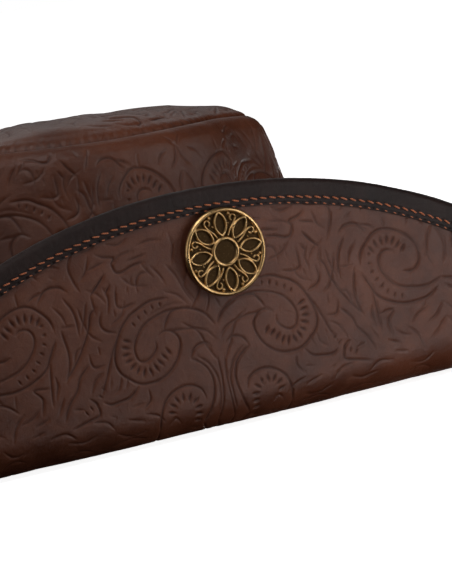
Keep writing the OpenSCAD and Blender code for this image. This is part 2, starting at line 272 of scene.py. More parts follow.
# ---------------------------------------------------------------- the tooled pattern
# Half of one repeat of the leaf scroll, in millimetres: across from the stem, and up from the
# fold. The other half is its mirror image. Each line is (depth, points).
HALF_REPEAT, PATTERN_LOW, PATTERN_HIGH, CELL = 95.0, 10.0, 88.0, 0.2
LINES = [
    # big scroll beside the stem, its inner turn and the tail that runs down from it
    (1.0,
     "17,58 24,58 29,56 33,54 37,50 40,44 41,39 40,35 37,32 33,29.5 29.5,29 25,29.5 21,31.5 17.5,35 15.5,39"
          " 15,42 16,44.5 18,46 20,46.5"),
    (0.9, "10,53 15,53.5 20,53 26,51 30,48 32.5,44 33,41 32,38 29.5,37 26.5,38.5 24.5,41 24.5,43.5"),
    (0.5, "11,55 16,55.5 21,54.5 26.5,52.5"),
    (0.9, "37.5,49.5 40,45 43,39 45,34 48,28"),
    (1.0, "33.5,29 37,25.5 41,24.5 45,24 48,25.5"),
    (0.7, "39.5,34 41,29.5 43.5,27.5"), (0.7, "43.5,34 44.5,29.5"), (0.8, "36.5,33.5 38.5,29"),
    (0.9, "30,27 30,23 33,20"), (0.8, "33,22.5 37,21.5"), (0.8, "33,16 39.5,17.5"), (0.8, "43.5,19 46,20"),
    # stem and the lobe that joins it to the scroll
    (1.0, "0.5,45.5 4,50 10,53 16,53 19,50 20.5,47"),
    (0.8, "1,40 4,43.5 10,45.5 17,46 20.5,46.5 23.5,45"),
    (1.0, "3,37.5 5.5,39.5 9.5,38.5 12,35"), (1.0, "12,35 7.5,32 5,28 4.5,23 6.5,16 9.5,10"),
    (0.8, "1.5,34 1,26 1.6,18 3.5,9"), (0.8, "1,70 2.5,64 5,57.5 9,52.5"), (0.7, "11,63.5 8.5,58 5.5,54.5"),
    (0.8, "13,48 7.5,44 5,38.5 1.5,32"), (0.8, "9.5,35.5 5,31.5 2.5,25.5 2.5,20 3.5,13.5"),
    (0.7, "16,70 12.5,65 10,59 7,54"), (0.7, "18,60.5 13.5,58.5 9.5,54.5"), (0.6, "0.6,60 1.6,54 3.5,50"),
    (0.8, "24,63.5 30,65 34,68.5"), (0.8, "21,66 25.5,72"), (0.7, "27,77 33,76 36,73.5"),
    (0.8, "41,83 44,80 50,79.5"),
    (0.8, "52,60 50.5,54 48.5,49.5 45,47"), (0.8, "41.5,66 40,61.5 41,56.5"),
    (0.8, "56.5,75 61,76.5 66,74.5"),
    (0.8, "46,36 49.5,33.5 52,29"), (0.8, "52,46 55,44.5 56.5,40"), (0.7, "34,60 36,55 41,52"),
    (0.7, "72,27 75,24 80,22"), (0.8, "68,81 71,84 77,85"), (0.8, "25,14 28,17 33,18.5"),
    (0.8, "45,15 48,18 54,19"), (0.8, "60,14 64,16.5 70,15.5"),
    (0.8, "89,31 84,29.5 80,26.5"), (0.8, "95,31 91,27 87,25"), (0.8, "89.5,61 93,64.5 95,70"),
    (0.7, "75,80 81,82 88,79"),
    (0.7, "6.5,72 8,66 11,60"), (0.6, "4,82 5,76 8,71"), (0.7, "13,81 12,76 13.5,70"),
    # two small fans at the foot of the stem
    (1.0, "8.5,20 9.5,23 12.5,25 16.5,25.5 21,24 24.5,21 26.5,16 27,10"), (0.8, "18.5,12 21,14.5 23.5,12"),
    # leaves above the big scroll
    (0.9, "22.5,75 30.5,73.5"),
    (1.0, "23.5,72.5 29,71.5 33,70 35.5,70.5 36.5,73.5 35.5,75.5 39.5,76.5 42.5,78"),
    (0.9, "38.5,75 43.5,73.5 46.5,72.5"), (1.3, "40,70.5 43,67 46.5,63.5"), (1.3, "38.5,66.5 41,63"),
    (0.9, "36.5,65.5 37,62 37,58.5 34.5,57.5 29.5,58.5"), (0.9, "32,65 32.5,62.5"), (0.9, "30,68 30.5,65"),
    (0.9, "38.5,57.5 38.5,55"), (0.9, "43.5,57.5 44.5,53.5 43,50.5 38.5,49"), (0.9, "46.5,45.5 46.5,42.5"),
    (0.9, "50.5,43 50,39.5 48.5,38 45,38.5"), (0.8, "28.5,62 28,66.5 25.5,68.5 22,68"),
    (0.8, "17,63 19,67 22,70.5"), (0.8, "16,79 21,79.5 26,78.5"), (0.9, "29,82 33,80 38,81"),
    # long flames between the two scrolls
    (1.0, "44.5,59.5 47.5,57 49,52 51.5,47 55,41.5 60.5,35"), (1.0, "50.5,40 55,35.5 57,31 61,26 63.5,21"),
    (0.8, "62.5,29.5 65.5,23.5"), (0.8, "46.5,64 45.5,56.5"), (0.8, "45,77.5 47,72 49.5,69.5"),
    (0.8, "51,80 53,75 52,70 50,65.5"), (0.8, "48.5,62 50,56 52,51"), (0.7, "41,60 43.5,63.5 48,66"),
    # flower, hooks and arch beside the far scroll
    (0.9, "57,64.5 54,59.5 53,54.5 53,50.5"), (1.0, "55,66.5 58,68.5 63,68 67,63.5"),
    (0.9, "63.5,67.5 67.5,66.5 70.5,64.5"), (0.8, "74.5,68.5 74,63.5"), (0.8, "58.5,71.5 61,72.5"),
    (0.8, "53.5,54 59,54"), (0.9, "59.5,53 58,45 58.5,39.5 60.5,34.5"),
    (0.9, "65.5,42.5 66,38.5 66.5,33 67,27"),
    (0.9, "64.5,37.5 64,34 65.5,29"), (1.0, "53,27.5 50.5,25 50,21 54.5,19.5 61,17.5"),
    (0.9, "59.5,24.5 55.5,24"),
    (0.9, "66.5,33.5 73,33.5 70.5,30 71.5,24.5"), (0.9, "69,23 74.5,20.5"), (0.9, "71.5,18.5 76.5,17"),
    (0.8, "61.5,62 58.5,58.5 57,54.5"), (0.8, "65,72 69,75.5 75,75 79,71.5"), (0.8, "70,79 76,81 83,79"),
    (0.8, "55,78 60,80.5 66,79"), (0.6, "80.5,33 81,28.5"), (0.6, "85,29.5 87.5,33.5"),
    (0.7, "87,19 91,21.5 95,25.5"),
    (0.8, "78,26 82,22 84,16"), (0.8, "88,14 84,11 79,12"), (0.8, "52,14 57,12 63,13"),
    (0.8, "32,12 38,10.5 44,13"),
    # far scroll
    (1.0,
     "62,53.5 63,57 65.5,60 69.5,63 73.5,63.5 78.5,62 83,59 86.5,55 87.5,51 86.5,47.5 83.5,45.5 79.5,46.5"),
    (1.0, "62,50 65,44.5 67.5,40 73,36.5 78.5,34.5 83.5,34 89,34.5 93.5,37"),
    (0.9, "77,54 74.5,55.5 71.5,55 70,52.5 70.5,49 73,45 77,41.5 82.5,39.5 89,38.5 95,40"),
    (0.8, "90,68 86,66.5 83.5,63"), (0.8, "95,60 92,56 91,50 93,45"), (0.8, "84,72 88,74 92,72 95,68"),
]
# Rows of short pressed marks across a line: (length, width, spacing, points)
MARKS = [
    (3.2, 0.72, 2.5, "20,39 22,37.5 23.5,36 26,34 29.5,33 33,34.5 35,36.5 36,39 36.5,41 36,44 35,47"),
    (1.6, 0.45, 3.2, "32,51 29.5,53 26.5,54.5 23,56 19,56.5"),
    (2.8, 0.68, 2.6, "12,12 11.5,15.5 12,18.5 13.5,20.5 16,21.5 19,21.5 21.5,19.5 22.5,16"),
    (3.2, 0.72, 2.6, "67.5,57.5 70,59 73.5,59.5 77,58.5 79,56.5 80.5,55 82.5,53.5"),
    (1.6, 0.45, 3.4, "66.5,56 66,52.5 66.5,49.5 68.5,45.5 70.5,42.5 73.5,39.5 76.5,38 80,36.5"),
    (1.8, 0.4, 2.8, "47,30 50,26 55,22.5"),
]


def smooth_path(text, step=0.12):
    """Points close together on a curve through a few written ones."""
    p = np.array([[float(n) for n in pair.split(",")] for pair in text.split()])
    p = np.vstack([2 * p[0] - p[1], p, 2 * p[-1] - p[-2]])
    out = []
    for a, b, c, d in zip(p, p[1:], p[2:], p[3:]):
        n = max(int(np.linalg.norm(c - b) / step), 2)
        t = np.linspace(0, 1, n, endpoint=False)[:, None]
        out.append(0.5 * (2 * b + (c - a) * t + (2 * a - 5 * b + 4 * c - d) * t ** 2
                          + (3 * b - 3 * c + d - a) * t ** 3))
    return np.vstack(out + [p[-2:-1]])


def blurred(field, width):
    """The field with a soft round blur, its edges repeated."""
    n = int(3 * width / CELL)
    kernel = np.exp(-0.5 * (np.arange(-n, n + 1) * CELL / width) ** 2)
    kernel /= kernel.sum()
    for axis in (0, 1):
        wide = np.pad(field, [(n, n) if k == axis else (0, 0) for k in (0, 1)], mode="reflect")
        field = sum(w * np.take(wide, np.arange(i, i + field.shape[axis]), axis)
                    for i, w in enumerate(kernel))
    return field


def tooled_pattern():
    """Depth of the pressed lines over half a repeat, 0 where the leather is untouched."""
    nu = int(HALF_REPEAT / CELL) + 1
    nv = int((PATTERN_HIGH - PATTERN_LOW) / CELL) + 1
    lines, slope = np.zeros((nu, nv)), np.zeros((nu, nv))
    gu = np.arange(nu) * CELL
    gv = PATTERN_LOW + np.arange(nv) * CELL

    def stamp(p, half, weight, reach, into):
        i0, i1 = np.searchsorted(gu, [p[:, 0].min() - reach, p[:, 0].max() + reach])
        j0, j1 = np.searchsorted(gv, [p[:, 1].min() - reach, p[:, 1].max() + reach])
        if i1 <= i0 or j1 <= j0:
            return
        x, y = np.meshgrid(gu[i0:i1], gv[j0:j1], indexing="ij")
        best = np.full(x.shape, 1e9)
        size = np.ones(x.shape)
        share = np.linspace(0, 1, len(p))
        taper = np.clip(np.minimum(share, 1 - share) * len(p) * 0.12 / 3.0, 0, 1) ** 0.5
        for q, w in zip(p[::2], taper[::2]):
            d = (x - q[0]) ** 2 + (y - q[1]) ** 2
            near = d < best
            best = np.where(near, d, best)
            size = np.where(near, w, size)
        width = half * (0.45 + 0.55 * size)
        cut = weight * (0.25 + 0.75 * size) * np.exp(-best / width ** 2)
        part = into[i0:i1, j0:j1]
        np.maximum(part, cut, out=part)

    for weight, text in LINES:
        p = smooth_path(text)
        stamp(p, 0.42, weight, 2.0, lines)
        stamp(p, 1.5, weight, 4.5, slope)
    for length, width, spacing, text in MARKS:
        p = smooth_path(text)
        gone = np.concatenate([[0], np.cumsum(np.linalg.norm(np.diff(p, axis=0), axis=1))])
        for at in np.arange(0, gone[-1] + 0.1, spacing):
            i = min(int(np.searchsorted(gone, at)), len(p) - 2)
            way = p[min(i + 3, len(p) - 1)] - p[max(i - 3, 0)]
            side = np.array([-way[1], way[0]]) / (np.linalg.norm(way) + 1e-9)
            mark = p[i] + side * np.linspace(-length / 2, length / 2, 24)[:, None]
            stamp(mark, width, 1.6, 2.0, lines)
    fold_in = blurred(lines, 0.9)
    return lines, np.clip(0.55 * slope + 0.5 * fold_in, 0, 1)


LINE_MAP, SLOPE_MAP = tooled_pattern()


def pattern_at(u, v):
    """Line and slope of the pattern at places on the hide, mirrored on from its half repeat."""
    span = PATTERN_HIGH - PATTERN_LOW
    x = np.abs((u + HALF_REPEAT) % (2 * HALF_REPEAT) - HALF_REPEAT) / CELL
    y = np.abs((v - PATTERN_LOW + span) % (2 * span) - span) / CELL
    i, j = np.minimum(x.astype(int), LINE_MAP.shape[0] - 2), np.minimum(y.astype(int), LINE_MAP.shape[1] - 2)
    fx, fy = x - i, y - j
    return [m[i, j] * (1 - fx) * (1 - fy) + m[i + 1, j] * fx * (1 - fy) + m[i, j + 1] * (1 - fx) * fy
            + m[i + 1, j + 1] * fx * fy for m in (LINE_MAP, SLOPE_MAP)]


def ripple(p, length, seed, waves=14):
    """Soft random unevenness, about -1 to 1, with waves of about this length."""
    source = np.random.default_rng(seed)
    total = np.zeros(p.shape[:-1])
    for _ in range(waves):
        way = source.normal(size=p.shape[-1])
        way *= 2 * math.pi / (length * source.uniform(0.7, 1.5)) / np.linalg.norm(way)
        total += np.sin(p @ way + source.uniform(0, 2 * math.pi))
    return total / waves ** 0.5 / 1.4


def soft_step(x, lo, hi):
    t = np.clip((x - lo) / (hi - lo), 0, 1)
    return t * t * (3 - 2 * t)


# ---------------------------------------------------------------- materials
def leather(name, base, dark, light, grain, shine, tooled=False, grain_depth=0.00011, dry=0.0, spec=0.3):
    """Finished hide: grain cells with painted shade in their creases, pores, worn and darker patches, and
    tool lines darkened partly by dye stain and partly by painted shade, with painted shade on their bevels.
    """
    n = Nodes(name)
    patch = n.noise(26, 5, 0.6)
    fine = n.noise(900, 3, 0.6)
    colour = n.mix(n.ramp(patch, 0.36, 0.66), base, dark)
    colour = n.mix(n.math("MULTIPLY", n.ramp(n.noise(120, 4, 0.6), 0.45, 0.75), 0.35), colour, light)
    colour = n.mix(n.ramp(fine, 0.35, 0.7, 0, 0.22), colour, dark)
    cell = n.cells(1000 / grain)
    crease = n.ramp(cell, 0.0, 0.16, 1.0, 0.0)
    pores = n.ramp(n.noise(1700 / grain, 2, 0.5), 0.62, 0.76)
    wrinkle = n.ramp(n.noise(180, 6, 0.62, distort=0.6), 0.3, 0.7)
    rough = n.ramp(n.noise(60, 5, 0.6), 0.3, 0.7, shine - 0.05, shine + 0.07)
    if tooled:
        line, slope = n.attr("line"), n.attr("slope")
        # Painted shade: the pressed bevel round each tool line is darkened along the slope mask.
        colour = n.mix(n.math("MULTIPLY", n.ramp(slope, 0.25, 0.9), 0.12), colour, dark)
        # Tool lines darkened partly by dye stain and partly by painted shade in the cuts.
        cut_shade_and_stain = tuple(c * k for c, k in zip(dark, (0.42, 0.30, 0.26)))
        colour = n.mix(n.ramp(line, 0.3, 0.95, 0, 0.8), colour, cut_shade_and_stain)
        rough = n.math("ADD", rough, n.ramp(line, 0.2, 0.9, 0, 0.12))
    height = n.math("MULTIPLY", crease, -0.55)
    height = n.math("ADD", height, n.math("MULTIPLY", pores, -0.5))
    height = n.math("ADD", height, n.math("MULTIPLY", fine, 0.5))
    normal = n.bump(height, 0.55, grain_depth)
    normal = n.bump(wrinkle, 0.35, 0.0004 * (1 + dry), normal)
    # Painted shade: the grain's creases are darkened.
    colour = n.mix(n.math("MULTIPLY", crease, 0.25), colour, dark)
    return n.finish(colour, rough, normal, Specular_IOR_Level=spec)


LEATHER_BASE, LEATHER_DARK, LEATHER_LIGHT = srgb(98, 55, 38), srgb(70, 36, 23), srgb(120, 72, 51)
embossed = leather("embossed_leather", LEATHER_BASE, LEATHER_DARK, LEATHER_LIGHT, 0.55, 0.34, tooled=True)
smooth = leather("smooth_leather", srgb(92, 57, 43), srgb(66, 39, 29), srgb(112, 74, 58), 0.6, 0.46)
bound = leather("binding_leather", srgb(41, 26, 23), srgb(26, 16, 14), srgb(56, 40, 37), 0.45, 0.44, dry=0.5,
                spec=0.2)
sweat = leather("sweatband_leather", srgb(86, 62, 48), srgb(58, 40, 31), srgb(108, 82, 66), 0.5, 0.58)


def thread_material(name, base, dark):
    """Twisted thread: plies drawn by the mesh's own length coordinate."""
    n = Nodes(name)
    ply = n.math("SINE", n.math("MULTIPLY", n.attr("twist"), 2 * math.pi))
    ply = n.ramp(ply, -1, 1)
    fuzz = n.noise(5200, 3, 0.7)
    # Painted shade: the grooves between the plies are darker.
    colour = n.mix(n.ramp(ply, 0.0, 0.65), dark, base)
    colour = n.mix(n.ramp(n.noise(240, 3, 0.6), 0.4, 0.75, 0, 0.5), colour, dark)
    normal = n.bump(n.math("ADD", ply, n.math("MULTIPLY", fuzz, 0.5)), 0.8, 0.00012)
    return n.finish(colour, n.ramp(fuzz, 0.3, 0.7, 0.5, 0.7), normal, Sheen_Weight=0.25, Sheen_Roughness=0.4)


rust_thread = thread_material("stitch_thread", srgb(214, 118, 66), srgb(128, 64, 36))
brown_thread = thread_material("seam_thread", srgb(72, 46, 36), srgb(34, 20, 15))


def cloth_material(name, base, dark, count, shine):
    """Woven cloth, its threads running along the mesh's own across and along coordinates."""
    n = Nodes(name)
    weave = n.vec("weave")
    split = n.new("ShaderNodeSeparateXYZ")
    n.put(split.inputs[0], weave)
    a = n.math("SINE", n.math("MULTIPLY", split.outputs[0], 2 * math.pi * count))
    b = n.math("SINE", n.math("MULTIPLY", split.outputs[1], 2 * math.pi * count))
    cross = n.math("MULTIPLY", a, b)
    height = n.math("ADD", n.ramp(cross, -1, 1), n.math("MULTIPLY", n.noise(2600, 2, 0.6), 0.35))
    # Painted shade: the low parts of the weave are darker.
    colour = n.mix(n.ramp(height, 0.25, 1.0), dark, base)
    colour = n.mix(n.ramp(n.noise(30, 4, 0.6), 0.4, 0.7, 0, 0.4), colour, dark)
    normal = n.bump(height, 0.6, 0.00012)
    return n.finish(colour, n.ramp(cross, -1, 1, shine, shine + 0.14), normal, Sheen_Weight=0.35,
                    Sheen_Roughness=0.45)


lining_cloth = cloth_material("lining_cloth", srgb(52, 47, 47), srgb(26, 23, 24), 2.2, 0.42)
ribbon_cloth = cloth_material("bow_ribbon", srgb(46, 36, 34), srgb(22, 17, 16), 1.6, 0.5)


def felt_material():
    n = Nodes("stiffener_felt")
    fibre = n.noise(1500, 6, 0.75, where=n.stretch((1, 0.35, 1)), distort=1.2)
    cloud = n.noise(70, 4, 0.6)
    colour = n.mix(n.ramp(fibre, 0.35, 0.7), srgb(176, 168, 150), srgb(226, 220, 204))
    colour = n.mix(n.ramp(cloud, 0.4, 0.7, 0, 0.3), colour, srgb(160, 150, 130))
    return n.finish(colour, 0.9, n.bump(fibre, 0.7, 0.0002), Sheen_Weight=0.3)


def metal_material(name, bright, dull, scratch_scale, rough_lo, rough_hi, patina=None):
    """Worn metal: fine scratches, uneven polish and, where there is relief, dark recesses."""
    n = Nodes(name)
    scratch = n.noise(scratch_scale, 5, 0.7, where=n.stretch((1, 1, 0.06)))
    cloud = n.noise(260, 5, 0.65)
    colour = n.mix(n.ramp(cloud, 0.35, 0.7), bright, dull)
    rough = n.ramp(cloud, 0.3, 0.7, rough_lo, rough_hi)
    if patina is not None:
        high = n.attr("high")
        grime = n.noise(1400, 4, 0.7)
        worn = n.ramp(n.math("ADD", high, n.math("MULTIPLY", grime, 0.3)), 0.30, 0.80)
        colour = n.mix(worn, patina, colour)
        rough = n.mix(worn, (0.62,) * 3, rough)
    pits = n.noise(2400, 3, 0.6)
    normal = n.bump(n.math("ADD", scratch, pits), 0.35, 0.00005)
    return n.finish(colour, rough, normal, Metallic=1.0)


brass = metal_material("antique_brass", srgb(214, 176, 122), srgb(160, 124, 80), 900, 0.24, 0.36,
                       srgb(62, 46, 28))
plain_brass = metal_material("screw_brass", srgb(196, 164, 98), srgb(150, 116, 62), 900, 0.28, 0.42)
steel = metal_material("wire_steel", srgb(196, 198, 200), srgb(150, 152, 155), 1200, 0.28, 0.42)
washer_metal = metal_material("washer_steel", srgb(188, 186, 182), srgb(140, 138, 134), 1200, 0.32, 0.46)


def plastic_material():
    n = Nodes("reed_plastic")
    streak = n.noise(800, 4, 0.6, where=n.stretch((0.2, 0.2, 1)))
    colour = n.mix(n.ramp(streak, 0.35, 0.7), srgb(42, 34, 28), srgb(70, 58, 50))
    return n.finish(colour, n.ramp(streak, 0.3, 0.7, 0.4, 0.55), n.bump(streak, 0.3, 0.00008))


felt, reed_plastic = felt_material(), plastic_material()


# ---------------------------------------------------------------- meshes from closed rings
def closed_sweep(name, points, material, attributes=(), close=True):
    """A tube of cross-sections (rings, ring points, 3), turned right side out."""
    nu, nv = points.shape[:2]
    quads = grid_faces(nu, nv, close, True)
    flat_points = points.reshape(-1, 3)
    a, b, c, d = (flat_points[quads[:, k]] for k in range(4))
    volume = (np.einsum("ij,ij->i", a, np.cross(b, c)) + np.einsum("ij,ij->i", a, np.cross(c, d))).sum()
    caps = []
    if not close:
        caps = [np.arange(nv)[::-1][None], (np.arange(nv) + (nu - 1) * nv)[None]]
    faces = [quads] + caps
    if volume < 0:
        faces = [f[:, ::-1] for f in faces]
    return mesh_object(name, flat_points, faces, material,
                       {k: np.asarray(v).reshape(nu * nv, -1).squeeze() for k, v in dict(attributes).items()})


def place(piece, body, node):
    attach(piece, body)
    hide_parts(node)
    return piece


# ---------------------------------------------------------------- brim leathers
def hide_place(p):
    """Place on the hide's pattern, across from the stem on the left front flap, and up from its fold."""
    return along_fold(p, 0) + STEM, p @ DIRS[0] - DISTS[0]


STEM = 7.0
TOOL_DEPTH, SLOPE_DEPTH = 0.44, 0.16


def brim_sheet(name, node, material, depth_0, depth_1, fine, rough, row, tooled=False, wave=0.0):
    a = angles(fine, rough, -68, 12)
    front = np.append(np.arange(-ALLOWANCE, LEATHER_W, row), LEATHER_W)
    back = np.linspace(LEATHER_W, -ALLOWANCE, 40)
    s = np.concatenate([front, back])
    aa, ss = np.meshgrid(a, s, indexing="ij")
    p = flat(aa, ss)
    t = np.where(np.arange(len(s)) < len(front), depth_0, depth_1) * np.ones_like(aa)
    on_front = np.arange(len(s)) < len(front)
    extra = {}
    free = soft_step(ss, 2, 10) * (1 - soft_step(ss, BINDING_S - 6, BINDING_S - 0.5)) * on_front
    if tooled:
        line, slope = pattern_at(*hide_place(p))
        calm = on_front * (0.35 + 0.65 * soft_step(hide_place(p)[1], -4, 16))
        line, slope = line * calm, slope * calm
        t = t + TOOL_DEPTH * line * on_front + SLOPE_DEPTH * slope * on_front
        extra = {"line": line, "slope": slope}
    t = t - wave * (ripple(p, 40, 5) * 0.6 + ripple(p, 14, 6) * 0.12 + 0.7) * free
    points = folded(p) + t[..., None] * through(p)
    piece = closed_sweep(name, points, material, extra)
    place(piece, "hat", node)
    return piece


brim_sheet("brim_outside", "brim_outer_leather", embossed, 0.0, OUTER_T, 0.11, 0.26, 0.42,
           tooled=True, wave=0.35)
brim_sheet("brim_core", "brim_stiffener", felt, OUTER_T + GAP, OUTER_T + GAP + CORE_T, 1.0,
           1.0, 3.0)
brim_sheet("brim_inside", "brim_inner_leather", smooth, STACK, STACK - INNER_T, 0.4, 0.5,
           1.2,
           wave=-0.25)


# ---------------------------------------------------------------- bound edge and its stitches
class Row:
    """One row of stitches round the brim, with its length measured along it."""

    def __init__(self, s, t):
        self.s = s
        self.a = np.radians(np.linspace(0, 360, 5761))
        line = brim_at(self.a, np.full(5761, s), np.full(5761, t))
        gone = np.concatenate([[0], np.cumsum(np.linalg.norm(np.diff(line, axis=0), axis=1))])
        self.count = int(round(gone[-1] / PITCH))
        self.steps = gone / gone[-1] * self.count

    def step(self, a):
        """Stitch number, with its fraction, at these angles."""
        return np.interp(np.mod(a, 2 * math.pi), self.a, self.steps)

    def angle(self, step):
        return np.interp(np.mod(step, self.count), self.steps, self.a)


rows = [Row(ROW_1, -BINDING_T), Row(ROW_2, -BINDING_T)]


def binding():
    a = angles(0.13, 0.26, -68, 12)
    nose = BINDING_T + STACK / 2
    s_turn = BRIM_W - nose
    n_face, n_nose = 26, 22
    s_out = np.linspace(BINDING_S + 0.12, s_turn, n_face)
    turn = np.linspace(-math.pi / 2, math.pi / 2, n_nose)[1:-1]
    s = np.concatenate([[BINDING_S, BINDING_S + 0.02], s_out, s_turn + nose * np.cos(turn), s_out[::-1],
                        [BINDING_S + 0.02, BINDING_S]])
    t = np.concatenate([[-0.02, -0.5], np.full(n_face, -BINDING_T), STACK / 2 + nose * np.sin(turn),
                        np.full(n_face, STACK + BINDING_T), [STACK + 0.5, STACK + 0.02]])
    ns = np.concatenate([[0, 0], np.zeros(n_face), np.cos(turn), np.zeros(n_face), [0, 0]])
    nt = np.concatenate([[0, -1], -np.ones(n_face), np.sin(turn), np.ones(n_face), [1, 0]])
    s_in = np.linspace(LEATHER_W + 0.1, BINDING_S, 7)
    cave = STACK / 2 + GAP
    dip = np.linspace(math.pi / 2, -math.pi / 2, 9)[1:-1]
    s_core = LEATHER_W + 0.2 + (nose - 0.8) * np.cos(dip) * 0.85
    s = np.concatenate([s, s_in[::-1], s_core, s_in])
    t = np.concatenate([t, np.full(7, STACK + GAP), STACK / 2 + cave * np.sin(dip), np.full(7, -GAP)])
    pad = len(s) - len(ns)
    ns, nt = np.concatenate([ns, np.zeros(pad)]), np.concatenate([nt, np.zeros(pad)])
    aa, ss = np.meshgrid(a, s, indexing="ij")
    tt = t * np.ones_like(aa)
    along = rows[0].step(aa) * PITCH
    lay = np.stack([along, 0.30 * (ss + 3 * np.sign(tt - STACK / 2))], -1)
    pucker = 0.028 * ripple(lay, 2.1, 31) + 0.03 * ripple(lay, 6.5, 32) + 0.10 * ripple(lay, 40, 33)
    pucker *= soft_step(ss, BINDING_S, BINDING_S + 5)
    # Painted shade: the stitch holes are darkened, kept as the binding's line mask, which the binding's
    # material does not read.
    cut_shade_and_stain = np.zeros_like(aa)
    for row, deep, dark in ((rows[0], 0.30, 0.85), (rows[1], 0.42, 1.0)):
        step = row.step(aa)
        gap_to = np.abs(step - np.round(step)) * PITCH
        off = ss - row.s
        hole = np.exp(-(gap_to / 0.62) ** 4 - (off / 0.45) ** 2)
        pull = 0.13 * np.exp(-(off / 0.7) ** 2)
        pucker -= deep * hole + pull
        cut_shade_and_stain = np.maximum(cut_shade_and_stain, dark * hole)
    face = soft_step(ss, BINDING_S, BINDING_S + 0.4)
    pucker *= face
    p = flat(aa, ss + ns * pucker)
    points = folded(p) + (tt + nt * pucker)[..., None] * through(p)
    piece = closed_sweep("edge_binding", points, bound, {"line": cut_shade_and_stain, "slope": cut_shade_and_stain * 0})
    return place(piece, "hat", "brim_binding")


binding()


def thread_mesh(name, centre, normal, radius, material, twist=0.75, sides=8):
    """Short round stitches (count, points, 3) with closed ends, as one mesh."""
    way = np.gradient(centre, axis=1)
    way /= np.linalg.norm(way, axis=-1, keepdims=True)
    side = np.cross(normal, way)
    side /= np.linalg.norm(side, axis=-1, keepdims=True)
    up = np.cross(way, side)
    phi = np.arange(sides) * 2 * math.pi / sides
    count, n = centre.shape[:2]
    share = np.linspace(-1, 1, n)
    size = np.broadcast_to(radius, count)[:, None] * np.clip(1 - share ** 6, 0.15, 1) ** 0.5
    ring = (np.cos(phi)[:, None] * up[:, :, None] + np.sin(phi)[:, None] * side[:, :, None])
    points = centre[:, :, None] + size[..., None, None] * ring
    index = np.arange(count * n * sides).reshape(count, n, sides)
    nxt = np.roll(index, -1, axis=2)
    quads = np.stack([index[:, :-1], index[:, 1:], nxt[:, 1:], nxt[:, :-1]], -1).reshape(-1, 4)
    ends = np.concatenate([index[:, 0], index[:, -1, ::-1]])
    run = np.concatenate([np.zeros((count, 1)),
                          np.cumsum(np.linalg.norm(np.diff(centre, axis=1), axis=2), axis=1)], 1)
    spin = (run[:, :, None] / twist + phi / (2 * math.pi)) * np.ones((count, n, sides))
    return mesh_object(name, points.reshape(-1, 3), [quads[:, ::-1], ends[:, ::-1]], material,
                       {"twist": spin.ravel()})


def edge_stitches(name, node, face):
    """Both rows of saddle stitches on one face of the binding."""
    centres, normals = [], []
    for row, cover, slant, sink in ((rows[0], 0.35, 0.30, -0.08), (rows[1], 0.21, 0.12, 0.27)):
        share = np.linspace(-1, 1, 9)
        step = (np.arange(row.count) + 0.5)[:, None] + cover * share
        step = step + rng.normal(0, 0.015, (row.count, 1))
        a = row.angle(step)
        s = row.s + (slant + rng.normal(0, 0.03, (row.count, 1))) * share * -1
        arch = (0.16 + rng.normal(0, 0.02, (row.count, 1))) * (1 - np.abs(share) ** 2.5)
        arch = arch - 0.30 * np.abs(share) ** 6
        out = BINDING_T - 0.08 + arch - sink
        t = -out if face < 0 else STACK + out
        p = flat(a, s)
        n = through(p)
        centres.append(folded(p) + t[..., None] * n)
        normals.append(n * face)
    pieces = np.concatenate(centres), np.concatenate(normals)
    piece = thread_mesh(name, *pieces, np.repeat([0.29, 0.24], [rows[0].count, rows[1].count]), rust_thread)
    return place(piece, "hat", node)


edge_stitches("edge_stitches_outside", "binding_thread_outer", -1)
edge_stitches("edge_stitches_inside", "binding_thread_inner", 1)


# ---------------------------------------------------------------- crown
def crown_point(a, inset, z):
    """A point of the crown's oval rings, with the front raised and the rim slightly uneven."""
    lean = np.maximum(z - BASE_Z, 0) / (CROWN_H - BASE_Z)
    rim = np.minimum(lean, 1) ** 3 * np.exp(-(np.maximum(z - CROWN_H, 0) / 5.0) ** 2)
    return np.stack([(HEAD_B - inset) * np.cos(a), (HEAD_A - inset) * np.sin(a),
                     z - CROWN_RAKE * (HEAD_A - inset) * np.sin(a) / HEAD_A * lean + rim * rim_rise(a)], -1)


def near_angle(a, middle, width):
    """1 at this many degrees round the crown, falling softly to 0 on both sides."""
    d = (np.degrees(a) - middle + 180) % 360 - 180
    return np.exp(-(d / width) ** 2)


def rim_rise(a):
    return 1.6 - 1.2 * near_angle(a, -42, 26) + 1.0 * near_angle(a, 8, 20) - 2.5 * near_angle(a, 128, 30)


def bend_path(points, step):
    """A curve of inset and height through a few points, evenly spaced."""
    p = smooth_path(" ".join(f"{x:.3f},{y:.3f}" for x, y in points), 0.2)
    gone = np.concatenate([[0], np.cumsum(np.linalg.norm(np.diff(p, axis=0), axis=1))])
    at = np.linspace(0, gone[-1], int(gone[-1] / step) + 1)
    return np.stack([np.interp(at, gone, p[:, k]) for k in (0, 1)], -1)


def moved(path, by):
    """The path moved to the inside of the crown."""
    way = np.gradient(path, axis=0)
    way /= np.linalg.norm(way, axis=1, keepdims=True)
    return path + by * np.stack([way[:, 1], -way[:, 0]], -1)


SEAM_IN = CROWN_TAPER * 1.14
SIDE = [(0, BASE_Z), (CROWN_TAPER * 0.21, CROWN_H * 0.38), (CROWN_TAPER * 0.67, CROWN_H * 0.70),
        (CROWN_TAPER * 0.88, CROWN_H * 0.92), (CROWN_TAPER * 0.99, CROWN_H * 0.975), (SEAM_IN, CROWN_H)]
TIP = [(SEAM_IN + 0.6, CROWN_H - 2.4), (SEAM_IN + 2.2, CROWN_H + 1.6),
       (SEAM_IN + 5.0, CROWN_H + TIP_RISE * 0.36),
       (SEAM_IN + 11, CROWN_H + TIP_RISE * 0.60), (SEAM_IN + 30, CROWN_H + TIP_RISE * 0.92)]
DENTS = ((-6, 6, 1.6), (9, 8, -2.2), (24, 6, 1.2), (-34, 9, -0.8), (-58, 8, 0.7), (75, 9, -1.4),
         (118, 10, -1.8),
         (150, 8, 1.0), (190, 11, -1.5), (232, 9, 1.0))


